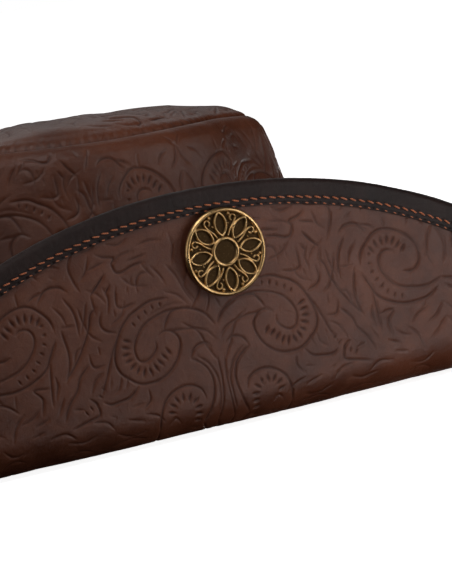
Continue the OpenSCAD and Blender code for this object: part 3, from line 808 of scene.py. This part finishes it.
def crown_shell(name, node, material, path, by, thick, columns, tooled=False, wave=0.0,
                weave=False):
    """A closed sheet on the crown's side, from a path and the depth below its face."""
    a = np.arange(columns) * 2 * math.pi / columns
    front = moved(path, by)
    back = moved(path[:: max(len(path) // 40, 1)], by + thick)[::-1]
    n = len(front)
    section = np.concatenate([front, back])
    aa, ii = np.meshgrid(a, np.arange(len(section)), indexing="ij")
    inset, z = section[ii, 0], section[ii, 1]
    bulge = sum(d * near_angle(aa, m, w) for m, w, d in DENTS) * soft_step(z, 18, 70)
    inset = inset - bulge * 0.9
    extra = {}
    on_front = (ii < n).astype(float)
    if tooled:
        around = np.interp(aa, np.linspace(0, 2 * math.pi, 721), ROUND_LENGTH)
        line, slope = pattern_at(around - CROWN_PHASE, np.minimum(ii, n - 1) * PATH_STEP - CROWN_DROP)
        fade = (1 - soft_step(z, CROWN_H - 3.5, CROWN_H - 1.0)) * soft_step(z, 3.5, 6) * on_front
        line, slope = line * fade, slope * fade
        seam = near_angle(aa, 90, 0.35) * on_front * (z < CROWN_H - 0.5)
        ridge = near_angle(aa, 90, 1.6) * on_front
        inset = inset + TOOL_DEPTH * line + SLOPE_DEPTH * slope + 0.9 * seam - 0.3 * ridge
        extra = {"line": np.maximum(line, seam), "slope": np.maximum(slope, 0.4 * ridge)}
    spot = crown_point(aa, inset, z)
    if wave:
        inset = inset - wave * (ripple(spot, 30, 8) * 0.7 + ripple(spot, 11, 9) * 0.25) * on_front
        spot = crown_point(aa, inset, z)
    if weave:
        extra["weave"] = np.stack([aa * 80, z * np.ones_like(aa), 0 * aa], -1)
    return place(closed_sweep(name, spot, material, extra), "hat", node)


PATH_STEP = 0.45
CROWN_PHASE, CROWN_DROP = 417.0, 29.0
ring = np.linspace(0, 2 * math.pi, 721)
ring_line = np.stack([(HEAD_B - 8) * np.cos(ring), (HEAD_A - 8) * np.sin(ring)], -1)
ROUND_LENGTH = np.concatenate([[0], np.cumsum(np.linalg.norm(np.diff(ring_line, axis=0), axis=1))])
side_path = bend_path(SIDE, PATH_STEP)
over_path = bend_path(SIDE + [(SEAM_IN + 1.3, CROWN_H - 0.9), (SEAM_IN + 1.1, CROWN_H - 2.6)], PATH_STEP)
crown_wall = crown_shell("crown_wall", "crown_side", embossed, over_path, 0.0, CROWN_T,
                         1240,
                         tooled=True, wave=0.5)
lining_wall = crown_shell("lining_wall", "lining_side", lining_cloth, side_path[::3],
                          CROWN_T + 0.5,
                          0.4, 300, weave=True)


def dome(name, node, material, path, by, thick, columns, tooled=False, weave=False):
    """A closed cap: rings from the seam to the middle, and back underneath."""
    a = np.arange(columns) * 2 * math.pi / columns
    front = moved(path, by)
    back = moved(path, by + thick)[:: max(len(path) // 24, 1)][::-1]
    middle = CROWN_H + TIP_RISE
    # Rings keep shrinking from the path's last point to the middle
    reach = HEAD_B - path[-1, 0]
    share = np.linspace(1, 0.004, int(reach / 0.7))[1:]
    rise = middle - path[-1, 1]
    section, kind, shrink = list(front), [1] * len(front), [1.0] * len(front)
    for k in share:
        section.append((front[-1, 0], front[-1, 1] + rise * (1 - k ** 2)))
        shrink.append(k)
        kind.append(1)
    for k in share[::-1][:: 3]:
        section.append((back[0, 0], back[0, 1] + rise * (1 - k ** 2)))
        shrink.append(k)
        kind.append(0)
    section += list(back)
    shrink += [1.0] * len(back)
    kind += [0] * len(back)
    section, shrink, kind = np.array(section), np.array(shrink), np.array(kind)
    aa, ii = np.meshgrid(a, np.arange(len(section)), indexing="ij")
    inset, z, on_front = section[ii, 0], section[ii, 1], kind[ii]
    bulge = sum(d * near_angle(aa, m, w) for m, w, d in DENTS) * np.exp(-np.maximum(inset - SEAM_IN, 0) / 6)
    inset = inset - 0.9 * bulge
    spot = crown_point(aa, inset, z)
    spot[..., 0] *= shrink[ii]
    spot[..., 1] *= shrink[ii]
    tilt = -CROWN_RAKE * np.sin(aa) * (HEAD_A - inset) / HEAD_A * (z - BASE_Z) / (CROWN_H - BASE_Z)
    spot[..., 2] += tilt * (shrink[ii] - 1)
    extra = {}
    if tooled:
        line, slope = pattern_at(spot[..., 0] * 0.81 + spot[..., 1] * 0.59 + 12,
                                 spot[..., 1] * 0.81 - spot[..., 0] * 0.59)
        fade = soft_step(inset, SEAM_IN + 3, SEAM_IN + 5.5) * on_front
        line, slope = line * fade, slope * fade
        gather = np.sin(aa * 56 + np.sin(aa * 9)) ** 2 * np.exp(-np.maximum(inset - SEAM_IN - 1.5, 0) / 2.6)
        drop = TOOL_DEPTH * line + SLOPE_DEPTH * slope + 0.45 * gather * on_front * (shrink[ii] > 0.99)
        spot[..., 2] -= drop
        # Painted shade: the sunk creases of the gathers go into the line mask, which the leather darkens.
        extra = {"line": np.maximum(line, 0.7 * gather * on_front * (shrink[ii] > 0.99) * (gather > 0.6)),
                 "slope": slope}
    spot[..., 2] += (ripple(spot[..., :2], 34, 12) * 0.8 + ripple(spot[..., :2], 90, 13) * 1.2) * soft_step(
        inset + (1 - shrink[ii]) * 40, SEAM_IN + 3, SEAM_IN + 14)
    if weave:
        extra["weave"] = np.stack([spot[..., 0], spot[..., 1], 0 * z], -1)
    return place(closed_sweep(name, spot, material, extra), "hat", node)


tip_path = bend_path(TIP, 0.6)
dome("crown_top", "crown_tip", embossed, tip_path, 0.0, CROWN_T, 820,
              tooled=True)
dome("lining_top", "lining_tip", lining_cloth, tip_path[::3], CROWN_T + 0.4, 0.4,
              240,
              weave=True)


def ring_stitches(name, node, material, inset, z, pitch, length, radius):
    """Stitches round the crown, in a ring of this inset and height."""
    a = np.linspace(0, 2 * math.pi, 2881)
    line = crown_point(a, np.full(2881, inset), np.full(2881, z))
    gone = np.concatenate([[0], np.cumsum(np.linalg.norm(np.diff(line, axis=0), axis=1))])
    count = int(gone[-1] / pitch)
    share = np.linspace(-1, 1, 7)
    at = ((np.arange(count) + 0.5)[:, None] + share * length / pitch / 2) / count * gone[-1]
    aa = np.interp(at, gone, a)
    centre = crown_point(aa, inset + 0.12 * (1 - share ** 2) * np.ones_like(aa), z * np.ones_like(aa))
    inward = np.stack([-np.cos(aa), -np.sin(aa), 0.001 * np.ones_like(aa)], -1)
    piece = thread_mesh(name, centre, inward, radius, material)
    return place(piece, "hat", node)


ring_stitches("crown_rim_stitches", "crown_rim_thread", brown_thread, SEAM_IN + 1.35,
              CROWN_H - 1.2,
              3.4, 2.6, 0.3)
ring_stitches("crown_base_stitches", "crown_base_thread", brown_thread, ALLOWANCE + 0.5, 1.9,
              3.2, 2.4, 0.28)

SWEAT_IN, SWEAT_H, SWEAT_T = ALLOWANCE + 1, 38.0, 1.0
REED_R, REED_Z = 0.7, 1.1
ring_stitches("sweatband_stitches", "sweatband_thread", rust_thread,
              SWEAT_IN + SWEAT_T + 0.5, 4.0,
              3.6, 2.6, 0.26)


def back_stitches():
    share = np.linspace(-1, 1, 7)
    lift = (0.05 + 0.87 * np.arange(18) / 18)[:, None] + share * 1.6 / CROWN_H
    inset = np.interp(lift * CROWN_H, [c[1] for c in SIDE], [c[0] for c in SIDE])
    bulge = sum(d * near_angle(np.radians(90), m, w) for m, w, d in DENTS) * soft_step(lift * CROWN_H, 18, 70)
    side = rng.normal(0, 0.05, (18, 1))
    centre = crown_point(np.radians(90) + (side + 0.3 * share) / HEAD_A,
                         inset - 0.9 * bulge - 0.35 + 0.4 * share ** 4,
                         lift * CROWN_H)
    normal = np.zeros_like(centre) + (0, 1, 0.2)
    piece = thread_mesh("crown_back_stitches", centre, normal, 0.36, brown_thread)
    return place(piece, "hat", "crown_back_thread")


back_stitches()


# ---------------------------------------------------------------- sweatband, reed and bow
def sweatband():
    a = np.arange(720) * 2 * math.pi / 720
    lean = CROWN_TAPER * 0.21 / (CROWN_H * 0.38 - BASE_Z)
    rise = np.linspace(0, 1, 44)
    round_top = np.array([(0.18, 0.28), (0.5, 0.4), (0.82, 0.28)])
    section = [(SWEAT_IN + lean * SWEAT_H * k, 2 + SWEAT_H * k) for k in rise]
    section += [(SWEAT_IN + lean * SWEAT_H + x, 2 + SWEAT_H + y) for x, y in round_top]
    section += [(SWEAT_IN + lean * SWEAT_H * k + SWEAT_T, 2 + SWEAT_H * k) for k in rise[::-1]]
    section = np.array(section)
    aa, ii = np.meshgrid(a, np.arange(len(section)), indexing="ij")
    inset, z = section[ii, 0], section[ii, 1]
    up = soft_step(z, 6, 36)
    lay = np.stack([aa * 90, z * 0.4], -1)
    inset = inset + (0.35 + 0.35 * ripple(lay, 26, 41)) * up + 0.08 * ripple(lay, 4, 42) * up
    z = z - 0.5 * ripple(np.stack([aa * 90], -1), 60, 43) * soft_step(z, 30, 38)
    inset = inset - 0.12 * np.exp(-((z - 4.0) / 0.8) ** 2) * (ii > 46)
    piece = closed_sweep("sweat_leather", crown_point(aa, inset, z), sweat)
    place(piece, "hat", "sweatband")
    phi = np.arange(12) * 2 * math.pi / 12
    aa, pp = np.meshgrid(a[::2], phi, indexing="ij")
    reed = crown_point(aa, SWEAT_IN + SWEAT_T / 2 + REED_R * np.cos(pp), REED_Z + REED_R * np.sin(pp))
    piece = closed_sweep("sweat_reed", reed, reed_plastic)
    return place(piece, "hat", "sweatband_reed")


sweatband()


def ribbon(points, width, thick):
    """Points and faces of a ribbon along a path (n, 3), its width along z."""
    way = np.gradient(points, axis=0)
    way /= np.linalg.norm(way, axis=1, keepdims=True)
    side = np.cross(way, (0, 0, 1.0))
    side /= np.linalg.norm(side, axis=1, keepdims=True) + 1e-9
    across = np.linspace(-0.5, 0.5, 9)
    width = np.broadcast_to(width, len(points))
    rings = []
    for t in (-thick / 2, thick / 2):
        x = across if t < 0 else across[::-1]
        rings.append(points[:, None] + side[:, None] * t
                     + np.array([0, 0, 1.0]) * (x * width[:, None])[..., None])
    pts = np.concatenate(rings, 1)
    n, m = pts.shape[:2]
    quads = grid_faces(n, m, False, True)
    caps = [np.arange(m)[::-1][None], (np.arange(m) + (n - 1) * m)[None]]
    weave = np.stack([np.repeat(np.arange(n) * 0.4, m),
                      np.tile(np.concatenate([across, across[::-1]]) * 5, n),
                      np.zeros(n * m)], -1)
    return pts.reshape(-1, 3), [quads] + caps, weave


def bow():
    """Small bow: two loops, two tails and the knot that holds them."""
    y, z = HEAD_A - SWEAT_IN - SWEAT_T - 3.6, 11.0
    t = np.linspace(0, 1, 30)
    parts = []
    for side in (-1, 1):
        loop = np.stack([side * (0.6 + 9.0 * np.sin(math.pi * t) ** 0.8), y + 1.3 * np.sin(2 * math.pi * t),
                         z + 0.3 * np.sin(math.pi * t)], -1)
        parts.append(ribbon(loop, 2.4 + 2.8 * np.sin(math.pi * t), 0.35))
        tail = np.stack([side * (0.6 + 5.5 * t), y + 0.9 + 0.5 * np.sin(3 * t), z - 0.8 - 9.0 * t ** 1.1], -1)
        low = ribbon(tail, 2.2 + 1.4 * t, 0.35)
        parts.append(low)
    turn = np.linspace(0, 2 * math.pi, 30)
    knot = np.stack([1.7 * np.cos(turn), y + 1.5 * np.sin(turn), z + 0 * turn], -1)
    parts.append(ribbon(knot, 3.4 + 0.3 * np.cos(turn), 0.45))
    points, quads, caps, weave, base = [], [], [], [], 0
    for pts, faces, wv in parts:
        points.append(pts)
        weave.append(wv)
        quads.append(faces[0] + base)
        caps += [f + base for f in faces[1:]]
        base += len(pts)
    piece = mesh_object("ribbon_bow", np.concatenate(points), [np.concatenate(quads), np.concatenate(caps)],
                        ribbon_cloth, {"weave": np.concatenate(weave)})
    return place(piece, "hat", "sweatband_bow")


bow()


# ---------------------------------------------------------------- concho
CONCHO_Z, CONCHO_T, POST_R, HOLE_R, TURN = 63.0, 1.4, 2.45, 1.5, 3.0
concho_low, concho_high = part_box("concho_face")
CONCHO_R = (concho_high.z - concho_low.z) / MM / 2      # the disc stands almost upright on its flap
PLATE_Z = BINDING_T + 0.35 + 0.25 + 0.3
concho_q = BEND_R * FLAP + (CONCHO_Z - BEND_R * (1 - math.cos(FLAP))) / math.sin(FLAP)
concho_flat = DIRS[0] * (FOLD_SIDE + concho_q)
concho_at = folded(concho_flat[None])[0]
concho_frame = (Matrix.Rotation(math.radians(-30), 3, "Z") @ Matrix.Rotation(math.pi - FLAP, 3, "Y"))


def wire(x, y, path, half):
    """Rounded raised wire along a path, 1 on its middle line and 0 past its edge."""
    best = np.full(x.shape, 1e9)
    for q in path:
        best = np.minimum(best, (x - q[0]) ** 2 + (y - q[1]) ** 2)
    return np.sqrt(np.clip(1 - best / half ** 2, 0, 1))


def ridge(d, half):
    return np.sqrt(np.clip(1 - (d / half) ** 2, 0, 1))


def relief(r, phi):
    """Height of the cast front over its plate."""
    k = CONCHO_R
    sector = math.pi / 4
    step = np.round((phi - math.radians(TURN)) / sector)
    local = phi - math.radians(TURN) - step * sector
    x, y = r * np.cos(local), r * np.sin(local)
    height = np.full(r.shape, -0.25)
    # petals: pointed ovals with a raised outline and a sunk field
    mid, half_l, half_w = 0.635 * k, 0.275 * k, 0.15 * k
    arc = (half_l ** 2 + half_w ** 2) / (2 * half_w)
    inside = arc - np.hypot(x - mid, np.abs(y) + arc - half_w)
    height = np.where(inside > 0.3, -0.42, height)
    height = np.maximum(height, -0.25 + 1.05 * ridge(inside - 0.12, 0.50))
    # the space between two petals, measured from its own middle
    turned = np.abs(local) - sector / 2
    gx, gy = r * np.cos(turned), r * np.sin(turned)
    flip = np.where(np.mod(step + (local > 0), 2) == 0, 1.0, -1.0)
    gy2 = gy * np.where(local > 0, 1, -1) * flip
    t = np.linspace(0, 1, 30)
    stem = np.stack([(0.42 + 0.36 * t) * k, (-0.005 - 0.092 * np.sin(1.6 * t) ** 2) * k], -1)
    curl_t = np.linspace(-0.1, 1.4, 30) * math.pi
    curl = np.stack([(0.785 + 0.068 * np.sin(curl_t)) * k, (-0.030 - 0.068 * np.cos(curl_t)) * k], -1)
    height = np.maximum(height, -0.25 + 0.85 * wire(gx, gy2, stem, 0.42))
    height = np.maximum(height, -0.25 + 0.85 * wire(gx, gy2, curl, 0.38))
    for at, off, size in ((0.850, 0.088, 0.70), (0.385, 0.0, 0.45), (0.64, 0.050, 0.40)):
        d = np.hypot(gx - at * k, gy2 - off * k)
        height = np.maximum(height, -0.25 + 1.1 * size / 0.5 * ridge(d, size) * 0.8)
    # rims: outer wire, thin inner line, and the ring round the sunk hub
    height = np.maximum(height, -0.25 + 1.15 * ridge(r - (k - 0.85), 0.85))
    height = np.maximum(height, -0.25 + 0.95 * ridge(r - 0.30 * k, 0.75))
    hub = r < 0.30 * k - 0.55
    height = np.where(hub, np.maximum(height, -0.30 + 0.06 * np.cos(r * 1.6)), height)
    height += 0.02 * np.sin(17 * x + 5 * y) * np.sin(13 * y - 3 * x)
    return height


def concho():
    fine = np.linspace(0.06, CONCHO_R - 0.12, 150)
    phi = np.arange(960) * 2 * math.pi / 960
    face = PLATE_Z + CONCHO_T
    rr, pp = np.meshgrid(fine, phi, indexing="ij")
    height = relief(rr, pp)
    front_z = face + height
    # side wall, back plate, boss, post and its threaded hole
    wall = [(CONCHO_R, face + 0.25), (CONCHO_R, face - 0.6), (CONCHO_R - 0.05, PLATE_Z + 0.45),
            (CONCHO_R - 0.5, PLATE_Z), (9.0, PLATE_Z), (5.0, PLATE_Z), (5.0, 0.3), (POST_R + 0.1, 0.3),
            (POST_R, 0.2), (POST_R, -STACK + 0.1), (POST_R - 0.1, -STACK), (HOLE_R + 0.05, -STACK),
            (HOLE_R, -STACK + 0.1), (HOLE_R, PLATE_Z), (0.06, PLATE_Z)]
    r = np.concatenate([rr, np.array([w[0] for w in wall])[:, None] * np.ones(len(phi))])
    z = np.concatenate([front_z, np.array([w[1] for w in wall])[:, None] * np.ones(len(phi))])
    pp = np.broadcast_to(phi, r.shape)
    local = np.stack([r * np.cos(pp), r * np.sin(pp), z], -1)
    high = np.concatenate([np.clip((height + 0.42) / 1.25, 0, 1), np.full((len(wall), len(phi)), 0.55)])
    turn = np.array(concho_frame)
    points = local @ turn.T + concho_at
    n, m = r.shape
    quads = grid_faces(n, m, False, True)
    caps = [np.arange(m)[None], (np.arange(m) + (n - 1) * m)[::-1][None]]
    piece = mesh_object("concho_ornament", points.reshape(-1, 3),
                        [quads[:, ::-1], np.concatenate(caps)[:, ::-1]],
                        brass, {"high": high.ravel()})
    return place(piece, "concho", "concho_face")


concho()

for node, material in (("edge_wire", steel), ("edge_wire_sleeve", steel), ("concho_washer", washer_metal),
                       ("concho_screw", plain_brass)):
    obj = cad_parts[node]
    for index in range(len(obj.material_slots)):
        obj.material_slots[index].material = material
    if not obj.material_slots:
        obj.data.materials.append(material)


# ---------------------------------------------------------------- floor, light and camera
def stage_material():
    n = Nodes("pale_floor")
    n.put(n.shader.inputs["Base Color"], (0.86, 0.86, 0.86, 1))
    n.put(n.shader.inputs["Roughness"], 0.9)
    n.put(n.shader.inputs["Emission Color"], (1, 1, 1, 1))
    far = n.new("ShaderNodeVectorMath", operation="LENGTH")
    n.put(far.inputs[0], n.pos)
    n.put(n.shader.inputs["Emission Strength"], n.ramp(far.outputs["Value"], 0.25, 0.6, 0.9, 1.1))
    n.shader.inputs["Specular IOR Level"].default_value = 0.0
    return n.mat


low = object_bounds()[0][2]
bpy.ops.mesh.primitive_plane_add(size=40, location=(0, 0, low - 0.0002))
floor = bpy.context.object
floor.name = "floor"
floor.data.materials.append(stage_material())
floor.visible_glossy = False
floor.visible_diffuse = False
floor.visible_shadow = False

world = bpy.data.worlds.new("studio")
bpy.context.scene.world = world
world.use_nodes = True
world.node_tree.nodes["Background"].inputs[0].default_value = (1, 1, 1, 1)
world.node_tree.nodes["Background"].inputs[1].default_value = 1.0
world.cycles_visibility.diffuse = False
world.cycles_visibility.glossy = False


def direction(azimuth, elevation):
    az, el = math.radians(azimuth), math.radians(elevation)
    return Vector((math.sin(az) * math.cos(el), -math.cos(az) * math.cos(el), math.sin(el)))


def softbox(name, azimuth, elevation, distance, width, height, power, target=(0, 0, 0.06), spread=180):
    light = bpy.data.lights.new(name, "AREA")
    light.spread = math.radians(spread)
    light.shape, light.size, light.size_y, light.energy = "RECTANGLE", width, height, power
    obj = bpy.data.objects.new(name, light)
    bpy.context.collection.objects.link(obj)
    obj.location = Vector(target) + direction(azimuth, elevation) * distance
    obj.visible_camera = False
    obj.rotation_euler = direction(azimuth, elevation).to_track_quat("Z", "Y").to_euler()
    return obj


softbox("softbox_left", -14, 16, 1.3, 0.6, 0.8, 1.8)
softbox("softbox_right", 102, 4, 0.75, 0.26, 0.65, 2.0)
softbox("softbox_key", 34, 55, 1.1, 0.7, 0.7, 5.1)
softbox("softbox_low", 52, -22, 0.5, 0.2, 0.2, 0.13, target=(0.16, 0.10, 0.03), spread=60)
softbox("softbox_back", 215, 40, 1.6, 1.2, 1.0, 3.0)
softbox("softbox_behind_right", 180, -16, 1.3, 0.7, 0.5, 4.5)
softbox("softbox_behind_left", 254, -16, 1.3, 0.7, 0.5, 4.5)

VIEW_AZ, VIEW_EL, ROLL, DISTANCE, LENS = 36.0, 4.2, math.radians(10.6), 1.5, 241.0
look = direction(VIEW_AZ, VIEW_EL)
right = Vector((math.cos(math.radians(VIEW_AZ)), math.sin(math.radians(VIEW_AZ)), 0))
up = look.cross(right)
aim = Vector((0, 0, 0.060)) + right * 0.0458 - up * 0.0202
camera_data = bpy.data.cameras.new("camera")
camera_data.lens, camera_data.sensor_width, camera_data.sensor_fit = LENS, 36.0, "AUTO"
camera_data.clip_end = 100
camera = bpy.data.objects.new("camera", camera_data)
bpy.context.collection.objects.link(camera)
spot = Vector((0, 0, 0.060)) + look * DISTANCE
back = (spot - aim).normalized()
y_axis = right * math.sin(ROLL) + up * math.cos(ROLL)
x_axis = y_axis.cross(back).normalized()
y_axis = back.cross(x_axis)
camera.matrix_world = Matrix(((x_axis.x, y_axis.x, back.x, spot.x), (x_axis.y, y_axis.y, back.y, spot.y),
                              (x_axis.z, y_axis.z, back.z, spot.z), (0, 0, 0, 1)))
scene = bpy.context.scene
scene.camera = camera
scene.view_settings.view_transform = "Standard"
scene.view_settings.look = "None"
